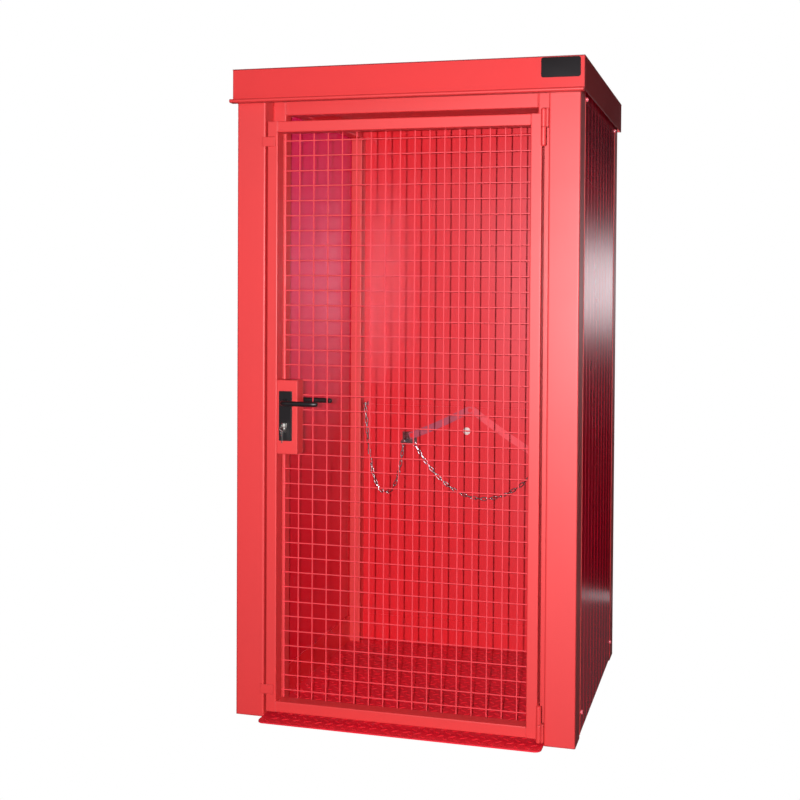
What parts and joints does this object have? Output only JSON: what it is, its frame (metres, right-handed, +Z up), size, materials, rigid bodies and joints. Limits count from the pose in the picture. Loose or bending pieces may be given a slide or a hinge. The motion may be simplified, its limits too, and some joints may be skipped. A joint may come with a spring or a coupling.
{
  "type": "gas cylinder storage box",
  "caption": "Red steel gas cylinder storage box with double-skinned walls, a welded-mesh door on a lever lock, a tear-plate floor and a restraining chain inside",
  "frame": {"origin": "centre of the overall box's underside, on the ground", "axes": "+Z up; the mesh door faces -Y, with its hinges at +X and its lever at -X"},
  "size_m": [1.176, 1.082, 2.163],
  "materials": {
    "body_paint": "gloss",
    "door_paint": "gloss",
    "panel_core": "matte",
    "zinc": "satin",
    "webbing": "matte",
    "handle_black": "satin",
    "nickel": "polished"
  },
  "bodies": {
    "cabinet": {"post_front_left": "body_paint", "post_front_right": "body_paint", "post_rear_left": "body_paint", "post_rear_right": "body_paint", "upright_front": "body_paint", "upright_rear": "body_paint", "lintel": "body_paint", "top_rail_rear": "body_paint", "top_rail_sides": "body_paint", "floor_plate": "body_paint", "kick_plate_rear": "body_paint", "kick_plate_sides": "body_paint", "wall_left": "body_paint", "wall_right": "body_paint", "wall_rear": "body_paint", "wall_cores": "panel_core", "ceiling_sheet": "body_paint", "roof_core": "panel_core", "roof_cap": "body_paint", "drip_lip": "body_paint", "chain_rail": "body_paint", "chain_bracket": "zinc", "chain_anchors": "zinc", "chain_left": "zinc", "chain_right": "zinc", "strap": "webbing", "strap_pegs": "zinc", "wall_boss": "zinc", "hinge_pins": "body_paint"},
    "door": {"stile_left": "door_paint", "stile_right": "door_paint", "door_rail_top": "door_paint", "door_rail_bottom": "door_paint", "mesh_upper": "door_paint", "mesh_lower": "door_paint", "lock_case": "door_paint", "stop_tabs": "door_paint", "hinge_sleeves": "door_paint", "handle_plate_outer": "handle_black", "handle_plate_inner": "handle_black", "lock_cylinder": "nickel", "key": "nickel"},
    "handle": {"lever_outer": "handle_black", "lever_inner": "handle_black"}
  },
  "joints": [
    {"name": "door_hinge", "type": "hinge", "parent": "cabinet", "child": "door", "pos_m": [0.46, -0.49, 1.004], "axis": [0, 0, 1], "range_deg": [0, 110]},
    {"name": "handle_turn", "type": "hinge", "parent": "door", "child": "handle", "pos_m": [-0.399, -0.454, 1.058], "axis": [0, 1, 0], "range_deg": [0, 40], "stiffness_Nm_per_rad": 1.2, "springref_deg": -8.59}
  ]
}
